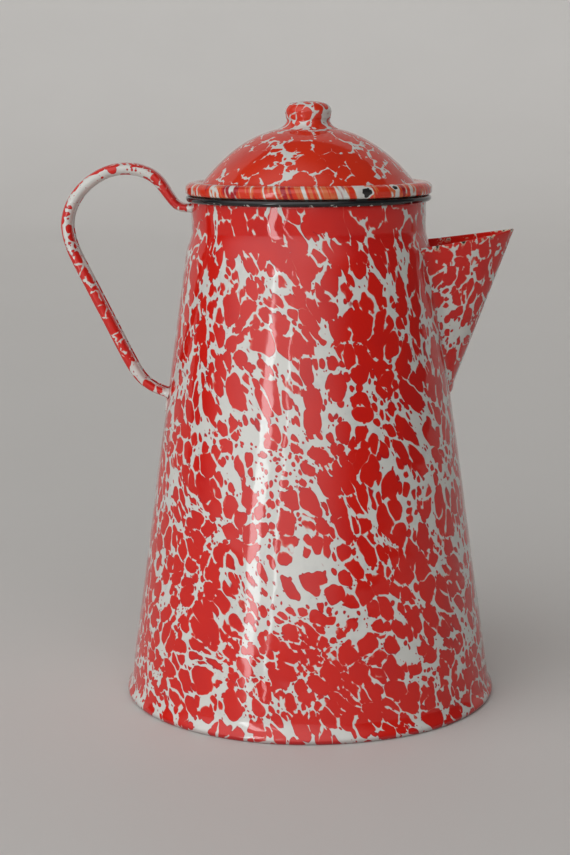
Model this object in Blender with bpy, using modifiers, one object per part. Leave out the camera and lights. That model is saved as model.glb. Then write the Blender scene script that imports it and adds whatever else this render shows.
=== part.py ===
"""Enamelled camp coffee percolator, a turned steel pot with a lift-out aluminium pump and basket.

Frame: metres, +Z up, +X towards the spout, the handle on -X.  The origin is the middle of the flat
underside, on the pot's turning axis.  Everything that comes out of the pot lifts along that axis.
Outlines are lists of (radius, height) points that run down the outer face of a sheet.
"""
import math

import bmesh
import bpy
from mathutils import Vector

# ---------------------------------------------------------------- sheet, clearances and facets
SHEET = 0.0010                  # pressed steel with its enamel on
THIN_SHEET = 0.0008             # aluminium of the pump and the basket
GAP = 0.0003                    # clearance kept between touching pieces
ROUND_STEPS = 40                # flats around the large turned pieces
BELL_STEPS = 24
SMALL_STEPS = 20                # flats around tubes and the knob
STUD_STEPS = 12

# ---------------------------------------------------------------- the pot
CONE_FOOT = (0.0891, 0.0125)    # radius and height of the cone's two ends
CONE_TOP = (0.0604, 0.2160)
CONE_LEVELS = 4
COLLAR_RADIUS = 0.0571
COLLAR_FOOT = 0.2295
COLLAR_TOP = 0.2440
SHOULDER = [(0.0580, 0.2260), (0.0595, 0.2221)]
FOOT_LIFT = 0.0003              # the rolled foot stays just off the table
FOOT_FLARE = [(0.0898, 0.0080), (0.0906, 0.0055), (0.0917, 0.0034), (0.0922, 0.0020),
              (0.0920, 0.0009), (0.0910, FOOT_LIFT)]
PAN_RADIUS = 0.0890
PAN_CHAMFER = 0.0004

BEAD_RADIUS = 0.0016            # half the thickness of the rolled mouth bead
MOUTH_RADIUS = 0.0580           # middle line of the bead
LID_SEAT = 0.2476               # top of the bead, where the lid rests

STRAINER_HOLE = 0.0018          # radius of the holes behind the spout
STRAINER_ROWS = [5, 4, 5, 4, 5]
STRAINER_ACROSS = 0.0064
STRAINER_UP = 0.0075
STRAINER_LEVEL = 0.1790
STRAINER_X = 0.0640
STRAINER_DRILL = 0.0160

# ---------------------------------------------------------------- the spout and the handle
SPOUT_TIP = (0.0999, 0.2292)    # X and Z of the pouring point
SPOUT_HEEL = (0.0718, 0.1554)   # X and Z of the keel's lower end
SPOUT_TOP_WIDTH = 0.0245        # half widths where the cheeks meet the body
SPOUT_HEEL_WIDTH = 0.0130
SPOUT_WIDENING = 1.7            # above 1 the spout widens mostly near its mouth
SPOUT_ROOT_TOP = 0.2223
SPOUT_BULGE = (0.67, -0.18, 0.50)   # how full a cheek is between the body and the keel
SPOUT_LAP = 0.28                # how far a cheek runs on into the body before it is trimmed
SPOUT_RIBS = 6
SPOUT_FACETS = 6
HEEL_TUCK = (0.0050, 0.8, 0.0026)   # inwards, share of the width, downwards

HANDLE_WIDTH = 0.0160
HANDLE_DEPTH = 0.0054
HANDLE_SLOT = 0.0046            # open seam along the hand side of the rolled strap
HANDLE_BEND = 0.0018            # corner of the strap's section
HANDLE_ROUTE = [(-0.0560, 0.2414), (-0.0605, 0.2415), (-0.0641, 0.2430), (-0.0677, 0.2475),
                (-0.0701, 0.2511), (-0.0732, 0.2549), (-0.0778, 0.2581), (-0.0840, 0.2600),
                (-0.0920, 0.2601), (-0.1002, 0.2576), (-0.1085, 0.2519), (-0.1142, 0.2445),
                (-0.1169, 0.2370), (-0.1170, 0.2300), (-0.1143, 0.2203), (-0.1062, 0.2036),
                (-0.0964, 0.1838), (-0.0910, 0.1727), (-0.0862, 0.1636), (-0.0823, 0.1580),
                (-0.0775, 0.1541), (-0.0715, 0.1513), (-0.0660, 0.1502)]

# ---------------------------------------------------------------- the lid
DOME_RADIUS = 0.0513
DOME_FOOT = 0.2538
DOME_TOP = 0.2803
DOME_POWER = 2.35               # 2 would be a parabola, more is flatter on top
DOME_RADII = [0.0060, 0.0180, 0.0290, 0.0380, 0.0445, 0.0490]
LID_VALLEY = (0.0517, 0.2533)   # groove between the dome and the rolled rim
ROLL_MIDDLE = 0.0558
ROLL_WIDTH = 0.0041             # half sizes of the rolled rim
ROLL_HEIGHT = 0.0030
ROLL_LIP = [(0.0599, 0.0011), (0.0594, 0.0001), (0.0565, 0.0)]     # radius, height over the seat
SKIRT_RADIUS = 0.0549
SKIRT_DEPTH = 0.0105            # how far the skirt reaches below the lid's seat
SKIRT_CHAMFER = (0.0006, 0.0010)

KNOB_TOP = 0.2922
KNOB_NECK = 0.0103
KNOB_OUTLINE = [(0.0055, 0.0003), (0.0089, 0.0011), (0.0107, 0.0026), (0.0113, 0.0045),
                (0.0110, 0.0064), (0.0105, 0.0086)]                # radius, depth under the top
STUD_RADIUS = 0.0020
STUD_HEAD = [(0.0044, 0.0), (0.0044, 0.0009), (0.0028, 0.0018), (0.0, 0.0020)]

# ---------------------------------------------------------------- the lift-out pump and basket
STEM_RADIUS = 0.0055            # outside of the pump tube
STEM_WALL = 0.0008
STEM_TOP = 0.2620
STEM_FOOT = 0.0050
STEM_SLIP = 0.0006              # play round the stem in the sleeve and the spreader plate
BELL_COLLAR = (0.0300, 0.0235)  # top and bottom of the collar that grips the stem
BELL_OUTLINE = [(0.0100, 0.0205), (0.0220, 0.0165), (0.0330, 0.0115), (0.0385, 0.0060),
                (0.0400, SHEET + GAP)]
BELL_SLOT = (0.0900, 0.0080, 0.0060)
BELL_SLOT_LEVEL = 0.0012
STOP_OUTLINE = [(0.0086, 0.0), (0.0092, 0.0012), (0.0080, 0.0040)]  # radius, depth under the top

BASKET_FLOOR = 0.1476
BASKET_HEIGHT = 0.0715
BASKET_RADIUS = 0.0500
BASKET_HEM = 0.0014             # how far the rolled hem stands out
BASKET_BEND = 0.0030            # corner between the wall and the floor
SLEEVE_FLANGE = 0.0100
SLEEVE_SHORT = 0.0052           # the sleeve ends this far below the basket's rim
SPREADER_RADIUS = 0.0525
SPREADER_DEPTH = 0.0035
HOLE_RINGS = [(0.020, 10), (0.036, 16)]     # radius and number of perforations
HOLE_RADIUS = 0.0012
HOLE_DRILL = 0.0040

# ---------------------------------------------------------------- finishes: colour, roughness, metallic
RED_ENAMEL = ((0.62, 0.030, 0.022), 0.12, 0.0)
ORANGE_ENAMEL = ((0.66, 0.045, 0.020), 0.12, 0.0)
BLACK_ENAMEL = ((0.012, 0.013, 0.015), 0.10, 0.0)
PALE_ENAMEL = ((0.66, 0.66, 0.60), 0.20, 0.0)
ALUMINIUM = ((0.78, 0.79, 0.80), 0.35, 1.0)
BRIGHT_STEEL = ((0.60, 0.60, 0.61), 0.25, 1.0)
FINISHES = {"pot_body": RED_ENAMEL, "bottom_pan": RED_ENAMEL, "mouth_bead": BLACK_ENAMEL,
            "spout": RED_ENAMEL, "handle": RED_ENAMEL, "lid_shell": ORANGE_ENAMEL,
            "lid_skirt": PALE_ENAMEL, "lid_knob": ORANGE_ENAMEL, "knob_stud": BRIGHT_STEEL,
            "pump_base": ALUMINIUM, "pump_tube": ALUMINIUM, "basket_stop": ALUMINIUM,
            "basket_cup": ALUMINIUM, "basket_sleeve": ALUMINIUM, "spreader_plate": ALUMINIUM}

MODEL_NAME = "coffee_percolator"
CUTTERS_NAME = "cutters"


# ---------------------------------------------------------------- the file and its collections
def clear_scene():
    """Remove every object that the file starts with."""
    for old in list(bpy.data.objects):
        bpy.data.objects.remove(old, do_unlink=True)


def new_collection(name):
    made = bpy.data.collections.new(name)
    bpy.context.scene.collection.children.link(made)


def finish_of(name):
    """The sub-part's own material."""
    colour, roughness, metallic = FINISHES[name]
    made = bpy.data.materials.new(name + "_finish")
    made.use_nodes = True
    shader = made.node_tree.nodes["Principled BSDF"]
    shader.inputs["Base Color"].default_value = (*colour, 1.0)
    shader.inputs["Roughness"].default_value = roughness
    shader.inputs["Metallic"].default_value = metallic
    made.diffuse_color = (*colour, 1.0)
    return made


def place(name, mesh, axis=None):
    """Put a mesh in the model's collection; a name that has a finish gets its material."""
    piece = bpy.data.objects.new(name, mesh)
    bpy.data.collections[MODEL_NAME].objects.link(piece)
    if name in FINISHES:
        mesh.materials.append(finish_of(name))
    if axis is not None:
        piece.parent = axis
        piece.location = -axis.matrix_world.translation
    return piece


def as_cutter(piece):
    """Move a piece to the cutters' collection and keep it out of the model."""
    bpy.data.collections[MODEL_NAME].objects.unlink(piece)
    bpy.data.collections[CUTTERS_NAME].objects.link(piece)
    piece.hide_render = True
    piece.display_type = 'WIRE'
    return piece


def lift_axis(name, height, carrier=None):
    """An empty on the turning axis, where a piece that lifts out has its origin."""
    axis = bpy.data.objects.new(name, None)
    bpy.data.collections[MODEL_NAME].objects.link(axis)
    axis.empty_display_size = 0.02
    axis.location.z = height
    if carrier is not None:
        axis.parent = carrier
        axis.location.z -= carrier.matrix_world.translation.z
    bpy.context.view_layer.update()
    return axis


# ---------------------------------------------------------------- outlines
def arc(middle, half_width, half_height, start, end, steps):
    """Points on an oval arc in the (radius, height) plane, angles in degrees from out towards up."""
    points = []
    for i in range(steps + 1):
        angle = math.radians(start + (end - start) * i / steps)
        points.append((middle[0] + half_width * math.cos(angle),
                       middle[1] + half_height * math.sin(angle)))
    return points


def below(top, outline):
    """Points that were given as (radius, depth under a top level)."""
    return [(radius, top - depth) for radius, depth in outline]


def inset(outline, thickness):
    """The same open line moved inwards by a thickness; a negative one moves it outwards."""
    moved = []
    for i, (radius, height) in enumerate(outline):
        before = Vector(outline[max(i - 1, 0)])
        after = Vector(outline[min(i + 1, len(outline) - 1)])
        along = (after - before).normalized()
        moved.append((radius + along.y * thickness, height - along.x * thickness))
    return moved


def sheet_section(outer, thickness=SHEET):
    """Closed section of a sheet whose outer face is the given line."""
    return outer + inset(outer, thickness)[::-1]


# ---------------------------------------------------------------- solids
def turned(name, section, axis=None, steps=ROUND_STEPS):
    """A section screwed round Z.  It stays open if its ends lie on Z, and otherwise makes a ring."""
    mesh = bpy.data.meshes.new(name)
    points = [(radius, 0.0, height) for radius, height in section]
    edges = [(i, i + 1) for i in range(len(points) - 1)]
    if section[-1][0] > 0.0:
        edges.append((len(points) - 1, 0))
    mesh.from_pydata(points, edges, [])
    piece = place(name, mesh, axis)
    screw = piece.modifiers.new("turn", 'SCREW')
    screw.axis = 'Z'
    screw.angle = 2.0 * math.pi
    screw.steps = steps
    screw.render_steps = steps
    screw.use_merge_vertices = True
    screw.merge_threshold = 0.00001
    screw.use_smooth_shade = True
    return piece


def loft(name, rings, closed):
    """Skin a row of rings that have the same number of points, and cap both ends if it is closed."""
    shape = bmesh.new()
    rows = [[shape.verts.new(point) for point in ring] for ring in rings]
    count = len(rows[0])
    for near, far in zip(rows, rows[1:]):
        for i in range(count if closed else count - 1):
            j = (i + 1) % count
            shape.faces.new((near[i], near[j], far[j], far[i]))
    if closed:
        shape.faces.new(rows[0])
        shape.faces.new(rows[-1][::-1])
    bmesh.ops.recalc_face_normals(shape, faces=shape.faces)
    mesh = bpy.data.meshes.new(name)
    shape.to_mesh(mesh)
    shape.free()
    return place(name, mesh)


def drills(name, places, radius, length, sides, lying=False):
    """One cutter made of round drills, upright or lying along X; a place is a drill's middle."""
    shape = bmesh.new()
    for middle in places:
        drill = bmesh.ops.create_cone(shape, cap_ends=True, segments=sides, radius1=radius,
                                      radius2=radius, depth=length)["verts"]
        if lying:
            turn = Vector((1, 0, 0)).to_track_quat('Z', 'Y').to_matrix()
            bmesh.ops.rotate(shape, verts=drill, cent=(0, 0, 0), matrix=turn)
        bmesh.ops.translate(shape, verts=drill, vec=middle)
    mesh = bpy.data.meshes.new(name)
    shape.to_mesh(mesh)
    shape.free()
    return as_cutter(place(name, mesh))


def cut(piece, cutter, name):
    boolean = piece.modifiers.new(name, 'BOOLEAN')
    boolean.operation = 'DIFFERENCE'
    boolean.solver = 'EXACT'
    boolean.object = cutter


# ---------------------------------------------------------------- the pot
def cone_radius(height):
    """Outside radius of the straight cone."""
    share = (height - CONE_FOOT[1]) / (CONE_TOP[1] - CONE_FOOT[1])
    return CONE_FOOT[0] + share * (CONE_TOP[0] - CONE_FOOT[0])


def body_outline():
    """Outer face of the pot from the collar's top edge down to the foot."""
    collar = [(COLLAR_RADIUS, COLLAR_TOP), (COLLAR_RADIUS, COLLAR_FOOT)]
    rise = (CONE_TOP[1] - CONE_FOOT[1]) / CONE_LEVELS
    levels = [CONE_TOP[1] - rise * i for i in range(CONE_LEVELS + 1)]
    cone = [(cone_radius(level), level) for level in levels]
    return collar + SHOULDER + cone + FOOT_FLARE


def pot_body():
    body = turned("pot_body", sheet_section(body_outline()))
    places = []
    for row, across in enumerate(STRAINER_ROWS):
        for column in range(across):
            y = (column - (across - 1) / 2) * STRAINER_ACROSS
            places.append((STRAINER_X, y, STRAINER_LEVEL + row * STRAINER_UP))
    strainer = drills("strainer_drills", places, STRAINER_HOLE, STRAINER_DRILL, 8, lying=True)
    cut(body, strainer, "strainer")


def body_envelope():
    """A solid just larger than the pot and its bead, which trims what is welded on outside."""
    outline = inset(body_outline(), -GAP)
    bead_edge = MOUTH_RADIUS + BEAD_RADIUS + GAP
    over = LID_SEAT + 2 * ROLL_HEIGHT
    top = [(0.0, over), (bead_edge, over), (bead_edge, COLLAR_TOP - GAP),
           (COLLAR_RADIUS + GAP, COLLAR_TOP - GAP)]
    return as_cutter(turned("body_envelope", top + outline[1:] + [(0.0, FOOT_LIFT)]))


def bottom_pan():
    """Flat disc seamed inside the rolled foot."""
    turned("bottom_pan", [(0.0, SHEET), (PAN_RADIUS, SHEET), (PAN_RADIUS, PAN_CHAMFER),
                          (PAN_RADIUS - PAN_CHAMFER, 0.0), (0.0, 0.0)])


def mouth_bead():
    middle = (MOUTH_RADIUS, LID_SEAT - BEAD_RADIUS)
    turned("mouth_bead", arc(middle, BEAD_RADIUS, BEAD_RADIUS, 90, -225, 7))


# ---------------------------------------------------------------- the spout
def spout_rib(share):
    """One line across the spout sheet, from cheek to keel to cheek, at a share of its height."""
    keel = Vector((SPOUT_HEEL[0] + share * (SPOUT_TIP[0] - SPOUT_HEEL[0]), 0.0,
                   SPOUT_HEEL[1] + share * (SPOUT_TIP[1] - SPOUT_HEEL[1])))
    widening = SPOUT_TOP_WIDTH - SPOUT_HEEL_WIDTH
    half_width = SPOUT_HEEL_WIDTH + widening * share ** SPOUT_WIDENING
    level = SPOUT_HEEL[1] + share * (SPOUT_ROOT_TOP - SPOUT_HEEL[1])
    root = Vector((math.sqrt(cone_radius(level) ** 2 - half_width ** 2), half_width, level))
    bulge = root + Vector((SPOUT_BULGE[0] * (keel.x - root.x), SPOUT_BULGE[1] * half_width,
                           SPOUT_BULGE[2] * (keel.z - level)))
    cheek = [root + (root - bulge) * SPOUT_LAP]
    for i in range(SPOUT_FACETS):
        step = i / SPOUT_FACETS
        cheek.append(root * (1 - step) ** 2 + bulge * 2 * step * (1 - step) + keel * step ** 2)
    other = [Vector((point.x, -point.y, point.z)) for point in reversed(cheek)]
    return cheek + [keel] + other


def spout_heel():
    """The sheet's lower end, turned in against the body to close the trough."""
    inwards, narrower, downwards = HEEL_TUCK
    return [Vector((point.x - inwards, point.y * narrower, point.z - downwards))
            for point in spout_rib(0.0)]


def spout(envelope):
    ribs = [spout_heel()] + [spout_rib(i / SPOUT_RIBS) for i in range(SPOUT_RIBS + 1)]
    sheet = loft("spout", ribs, closed=False)
    thicken = sheet.modifiers.new("thickness", 'SOLIDIFY')
    thicken.thickness = SHEET
    thicken.offset = -1.0
    thicken.use_even_offset = True
    cut(sheet, envelope, "fit to body")


# ---------------------------------------------------------------- the handle
def smooth_route(points, between):
    """A Catmull-Rom line through (x, z) points, with some points added between each two."""
    known = [Vector((x, 0.0, z)) for x, z in points]
    known = [known[0] * 2 - known[1]] + known + [known[-1] * 2 - known[-2]]
    route = []
    for a, b, c, d in zip(known, known[1:], known[2:], known[3:]):
        for step in range(between):
            t = step / between
            route.append(0.5 * (2 * b + (c - a) * t + (2 * a - 5 * b + 4 * c - d) * t ** 2
                                + (3 * b - a - 3 * c + d) * t ** 3))
    return route + [known[-2]]


def strap_section():
    """The rolled strap's closed section as (across, outwards): a C that is open towards the hand."""
    half = HANDLE_WIDTH / 2
    deep = HANDLE_DEPTH / 2
    slot = HANDLE_SLOT / 2
    outer = [(slot, -deep), (half - HANDLE_BEND, -deep), (half, -deep + HANDLE_BEND),
             (half, deep - HANDLE_BEND), (half - HANDLE_BEND, deep)]
    thin = half - SHEET
    flat = deep - SHEET
    inner = [(thin - HANDLE_BEND / 2, flat), (thin, flat - HANDLE_BEND / 2),
             (thin, HANDLE_BEND / 2 - flat), (thin - HANDLE_BEND / 2, -flat), (slot, -flat)]
    other_outer = [(-across, out) for across, out in reversed(outer)]
    other_inner = [(-across, out) for across, out in reversed(inner)]
    return outer + other_outer + other_inner + inner


def handle(envelope):
    route = smooth_route(HANDLE_ROUTE, 2)
    section = strap_section()
    rings = []
    for i, point in enumerate(route):
        along = (route[min(i + 1, len(route) - 1)] - route[max(i - 1, 0)]).normalized()
        outwards = Vector((along.z, 0.0, -along.x))
        rings.append([point + Vector((0.0, across, 0.0)) + outwards * out for across, out in section])
    cut(loft("handle", rings, closed=True), envelope, "fit to body")


# ---------------------------------------------------------------- the lid
def dome_height(radius):
    share = radius / DOME_RADIUS
    return DOME_FOOT + (DOME_TOP - DOME_FOOT) * (1 - share ** DOME_POWER)


def lid_shell(axis):
    """The lid from its middle hole, over the dome and the groove, to the rim curled in below."""
    seat = LID_SEAT + GAP
    dome = [(radius, dome_height(radius)) for radius in [STUD_RADIUS + GAP] + DOME_RADII]
    roll = arc((ROLL_MIDDLE, seat + ROLL_HEIGHT), ROLL_WIDTH, ROLL_HEIGHT, 110, 0, 4)
    lip = [(radius, seat + height) for radius, height in ROLL_LIP]
    turned("lid_shell", sheet_section(dome + [LID_VALLEY] + roll + lip), axis)


def lid_skirt(axis):
    top = LID_SEAT + 2 * ROLL_HEIGHT - SHEET - GAP
    foot = LID_SEAT - SKIRT_DEPTH
    turned("lid_skirt", sheet_section([(SKIRT_RADIUS, top), (SKIRT_RADIUS, foot + SKIRT_CHAMFER[1]),
                                       (SKIRT_RADIUS - SKIRT_CHAMFER[0], foot)]), axis)


def lid_knob(axis):
    """Hollow pressed knob, open at its base on the dome."""
    side = below(KNOB_TOP, KNOB_OUTLINE) + [(KNOB_NECK, dome_height(KNOB_NECK) + GAP)]
    section = [(0.0, KNOB_TOP)] + sheet_section(side) + [(0.0, KNOB_TOP - SHEET)]
    turned("lid_knob", section, axis, SMALL_STEPS)


def knob_stud(axis):
    """Rivet that holds the knob: its head is under the dome."""
    top = KNOB_TOP - SHEET - GAP
    under = DOME_TOP - SHEET - GAP
    section = [(0.0, top), (STUD_RADIUS, top), (STUD_RADIUS, under)] + below(under, STUD_HEAD)
    turned("knob_stud", section, axis, STUD_STEPS)


# ---------------------------------------------------------------- the lift-out pump
def pump_base(axis):
    """Bell that stands on the pot's floor, with four notches that let the water in."""
    hub = STEM_RADIUS + GAP + THIN_SHEET
    outline = [(hub, level) for level in BELL_COLLAR] + BELL_OUTLINE
    base = turned("pump_base", sheet_section(outline, THIN_SHEET), axis, BELL_STEPS)
    shape = bmesh.new()
    quarter_turn = Vector((0, 1, 0)).to_track_quat('X', 'Z').to_matrix()
    for _ in range(2):
        bar = bmesh.ops.create_cube(shape, size=1.0)["verts"]
        bmesh.ops.scale(shape, vec=BELL_SLOT, verts=bar)
        bmesh.ops.translate(shape, vec=(0, 0, BELL_SLOT_LEVEL), verts=bar)
        bmesh.ops.rotate(shape, verts=shape.verts, cent=(0, 0, 0), matrix=quarter_turn)
    mesh = bpy.data.meshes.new("notch_bars")
    shape.to_mesh(mesh)
    shape.free()
    cut(base, as_cutter(place("notch_bars", mesh)), "water notches")


def pump_tube(axis):
    bore = STEM_RADIUS - STEM_WALL
    section = [(STEM_RADIUS, STEM_TOP), (STEM_RADIUS, STEM_FOOT), (bore, STEM_FOOT), (bore, STEM_TOP)]
    turned("pump_tube", section, axis, SMALL_STEPS)


def basket_stop(axis):
    """Ring on the stem that carries the basket."""
    hub = STEM_RADIUS + GAP
    top = BASKET_FLOOR - 2 * GAP - THIN_SHEET
    outline = below(top, STOP_OUTLINE)
    turned("basket_stop", [(hub, top)] + outline + [(hub, outline[-1][1])], axis, SMALL_STEPS)


# ---------------------------------------------------------------- the basket and its spreader
def perforate(piece, floor):
    """Rings of holes through a flat floor."""
    places = []
    for radius, count in HOLE_RINGS:
        for i in range(count):
            angle = 2 * math.pi * (i + 0.5) / count
            places.append((radius * math.cos(angle), radius * math.sin(angle), floor))
    cut(piece, drills(piece.name + "_drills", places, HOLE_RADIUS, HOLE_DRILL, 6), "perforations")


def basket_cup(axis):
    sleeve_edge = STEM_RADIUS + STEM_SLIP + THIN_SHEET + GAP
    top = BASKET_FLOOR + BASKET_HEIGHT
    hem = BASKET_RADIUS + BASKET_HEM
    inside = BASKET_RADIUS - THIN_SHEET
    floor = BASKET_FLOOR + THIN_SHEET
    outer = [(hem, top - THIN_SHEET), (hem, top - BASKET_HEM - THIN_SHEET),
             (BASKET_RADIUS, top - BASKET_BEND), (BASKET_RADIUS, BASKET_FLOOR + BASKET_BEND),
             (BASKET_RADIUS - BASKET_BEND, BASKET_FLOOR), (sleeve_edge, BASKET_FLOOR)]
    inner = [(sleeve_edge, floor), (inside - BASKET_BEND + GAP, floor),
             (inside, floor + BASKET_BEND - GAP), (inside, top), (hem - THIN_SHEET, top)]
    perforate(turned("basket_cup", outer + inner, axis), BASKET_FLOOR)


def basket_sleeve(axis):
    """Flanged sleeve in the middle of the basket, which slips over the stem."""
    bore = STEM_RADIUS + STEM_SLIP
    top = BASKET_FLOOR + BASKET_HEIGHT - SLEEVE_SHORT
    flange = BASKET_FLOOR - GAP
    turned("basket_sleeve", [(bore + THIN_SHEET, top), (bore + THIN_SHEET, flange),
                             (SLEEVE_FLANGE, flange), (SLEEVE_FLANGE, flange - THIN_SHEET),
                             (bore, flange - THIN_SHEET), (bore, top)], axis, SMALL_STEPS)


def spreader_plate(axis):
    """Perforated tray that hangs in the basket's mouth and spreads the water."""
    seat = BASKET_FLOOR + BASKET_HEIGHT + GAP
    floor = seat - SPREADER_DEPTH
    bore = STEM_RADIUS + STEM_SLIP
    shoulder = BASKET_RADIUS - BASKET_BEND
    under = [(SPREADER_RADIUS, seat), (shoulder, seat), (shoulder - THIN_SHEET, floor), (bore, floor)]
    over = [(bore, floor + THIN_SHEET), (shoulder - 2 * THIN_SHEET, floor + THIN_SHEET),
            (shoulder - THIN_SHEET, seat + THIN_SHEET)]
    plate = turned("spreader_plate", [(SPREADER_RADIUS, seat + THIN_SHEET)] + under + over, axis)
    perforate(plate, floor)


# ---------------------------------------------------------------- the whole percolator
def build():
    clear_scene()
    new_collection(MODEL_NAME)
    new_collection(CUTTERS_NAME)

    envelope = body_envelope()
    pot_body()
    bottom_pan()
    mouth_bead()
    spout(envelope)
    handle(envelope)

    pump_axis = lift_axis("pump_axis", SHEET)
    pump_base(pump_axis)
    pump_tube(pump_axis)
    basket_stop(pump_axis)
    basket_axis = lift_axis("basket_axis", BASKET_FLOOR, pump_axis)
    basket_cup(basket_axis)
    basket_sleeve(basket_axis)
    spreader_axis = lift_axis("spreader_axis", BASKET_FLOOR + BASKET_HEIGHT, basket_axis)
    spreader_plate(spreader_axis)
    lid_axis = lift_axis("lid_axis", LID_SEAT, spreader_axis)
    lid_shell(lid_axis)
    lid_skirt(lid_axis)
    lid_knob(lid_axis)
    knob_stud(lid_axis)


build()
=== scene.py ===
"""The looks of the enamelled coffee percolator: smooth pressed sheet, splashed enamel and aluminium."""
import math

import bmesh
import bpy
from mathutils import Matrix, Vector, noise


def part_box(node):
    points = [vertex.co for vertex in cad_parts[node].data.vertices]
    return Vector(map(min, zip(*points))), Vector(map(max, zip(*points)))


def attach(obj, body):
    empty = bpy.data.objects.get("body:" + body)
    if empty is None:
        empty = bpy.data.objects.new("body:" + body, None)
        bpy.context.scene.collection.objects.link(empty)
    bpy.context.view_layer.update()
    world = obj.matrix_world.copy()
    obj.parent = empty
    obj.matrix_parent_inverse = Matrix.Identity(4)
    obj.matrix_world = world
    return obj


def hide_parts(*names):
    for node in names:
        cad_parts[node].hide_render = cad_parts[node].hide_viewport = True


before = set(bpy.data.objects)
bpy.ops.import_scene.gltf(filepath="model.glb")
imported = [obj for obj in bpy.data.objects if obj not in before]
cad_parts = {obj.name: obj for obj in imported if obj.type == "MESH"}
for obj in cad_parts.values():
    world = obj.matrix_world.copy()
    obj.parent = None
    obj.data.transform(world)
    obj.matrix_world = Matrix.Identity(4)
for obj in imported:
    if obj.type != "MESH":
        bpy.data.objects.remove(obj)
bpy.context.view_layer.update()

# ---- sizes, from the frame (metres)
POT_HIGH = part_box("pot_body")[1]
BEAD_LOW, BEAD_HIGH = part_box("mouth_bead")
LID_LOW, LID_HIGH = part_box("lid_shell")
KNOB_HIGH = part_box("lid_knob")[1]
SKIRT_LOW, SKIRT_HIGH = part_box("lid_skirt")
STUD_LOW, STUD_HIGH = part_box("knob_stud")
SPOUT_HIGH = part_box("spout")[1]
HANDLE_LOW, HANDLE_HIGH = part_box("handle")
PAN_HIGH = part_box("bottom_pan")[1]
BELL_LOW, BELL_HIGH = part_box("pump_base")
TUBE_LOW, TUBE_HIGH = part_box("pump_tube")
STOP_LOW, STOP_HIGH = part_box("basket_stop")
CUP_LOW, CUP_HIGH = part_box("basket_cup")
SLEEVE_LOW, SLEEVE_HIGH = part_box("basket_sleeve")
TRAY_LOW, TRAY_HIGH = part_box("spreader_plate")

SHEET = 0.0010  # steel with its enamel on
THIN_SHEET = 0.0008  # aluminium
CONE_TOP = Vector((0.0604, 0.2160))  # (radius, height) at the upper end of the straight cone
CONE_FOOT = Vector((0.0891, 0.0125))  # the same at its lower end, above the flared foot
COLLAR_RADIUS = 0.0571
POT_ERROR = 0.00035  # how far hand work leaves each piece from a true turned shape
BEAD_ERROR = 0.00015
LID_ERROR = 0.0003
KNOB_ERROR = 0.00035
DOME_RADIUS = 0.0513  # of the groove round the lid's dome
DOME_FOOT = 0.2538  # height of that groove
DOME_POWER = 2.35  # fullness of the dome; 2 would be a parabola
KNOB_NECK = 0.0103  # radius
CHIP_DEPTH = 0.00035
CHIPS = [(Vector((0.0259, -0.0537, 0.2505)), 0.0027),  # place and size of each chip on the lid's rim
         (Vector((0.0388, -0.0437, 0.2529)), 0.0018)]


# ---- lines and sections
def spline(points, between):
    """A smooth Catmull-Rom line through some points, which it keeps."""
    known = [Vector(point) for point in points]
    known = [2 * known[0] - known[1], *known, 2 * known[-1] - known[-2]]
    line = []
    for a, b, c, d in zip(known, known[1:], known[2:], known[3:]):
        for step in range(between):
            t = step / between
            line.append(0.5 * (2 * b + (c - a) * t + (2 * a - 5 * b + 4 * c - d) * t ** 2
                               + (3 * b - a - 3 * c + d) * t ** 3))
    return line + [known[-2]]


def arc(middle, half_width, half_height, start, end, steps):
    """Points on an oval arc in the (r, z) plane, angles in degrees from +r towards +z."""
    angles = [math.radians(start + (end - start) * i / steps) for i in range(steps + 1)]
    return [Vector((middle[0] + half_width * math.cos(a), middle[1] + half_height * math.sin(a)))
            for a in angles]


def offset(line, distance):
    """A line moved sideways, to the right-hand side of a profile that runs downwards: inwards."""
    moved = []
    for i, point in enumerate(line):
        along = (line[min(i + 1, len(line) - 1)] - line[max(i - 1, 0)]).normalized()
        moved.append(Vector((point.x + along.y * distance, point.y - along.x * distance)))
    return moved


def round_edge(start, end, steps=4):
    """Points of the half circle that rounds a sheet's edge, from one face to the other."""
    middle = (start + end) / 2
    spoke = start - middle
    points = []
    for i in range(1, steps):
        turn = Matrix.Rotation(-math.pi * i / steps, 2)
        points.append(middle + turn @ spoke)
    return points


def sheet_section(outer, thickness=SHEET):
    """Closed section of a sheet from its outer line, with round edges, and a mark on the inner face."""
    inner = offset(outer, thickness)[::-1]
    section = outer + round_edge(outer[-1], inner[0]) + inner + round_edge(inner[-1], outer[0])
    lining = [0.0] * (len(outer) + 2) + [1.0] * (len(inner) + 1) + [0.0] * 3
    return section, lining


# ---- meshes
ON_AXIS = 1e-7  # a radius below this is a single point on the axis


def mesh_object(name, points, faces, lining=None):
    """A smooth object from points and faces, with its inner face marked as lining."""
    mesh = bpy.data.meshes.new(name)
    mesh.from_pydata([tuple(point) for point in points], [], faces)
    if lining is not None:
        marks = mesh.attributes.new("lining", 'FLOAT', 'POINT')
        marks.data.foreach_set("value", lining)
    tidy = bmesh.new()
    tidy.from_mesh(mesh)
    bmesh.ops.recalc_face_normals(tidy, faces=tidy.faces)
    tidy.to_mesh(mesh)
    tidy.free()
    mesh.shade_smooth()
    piece = bpy.data.objects.new(name, mesh)
    bpy.context.scene.collection.objects.link(piece)
    return piece


def hand_made(point, amount, grain, seed):
    """A small smooth error of hand work: how far a point of the sheet stands out or in."""
    slow = noise.noise(point * grain + Vector((seed, 0.0, 0.0)))
    quick = noise.noise(point * grain * 4.0 + Vector((0.0, seed, 0.0)))
    return amount * (slow + 0.2 * quick)


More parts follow.
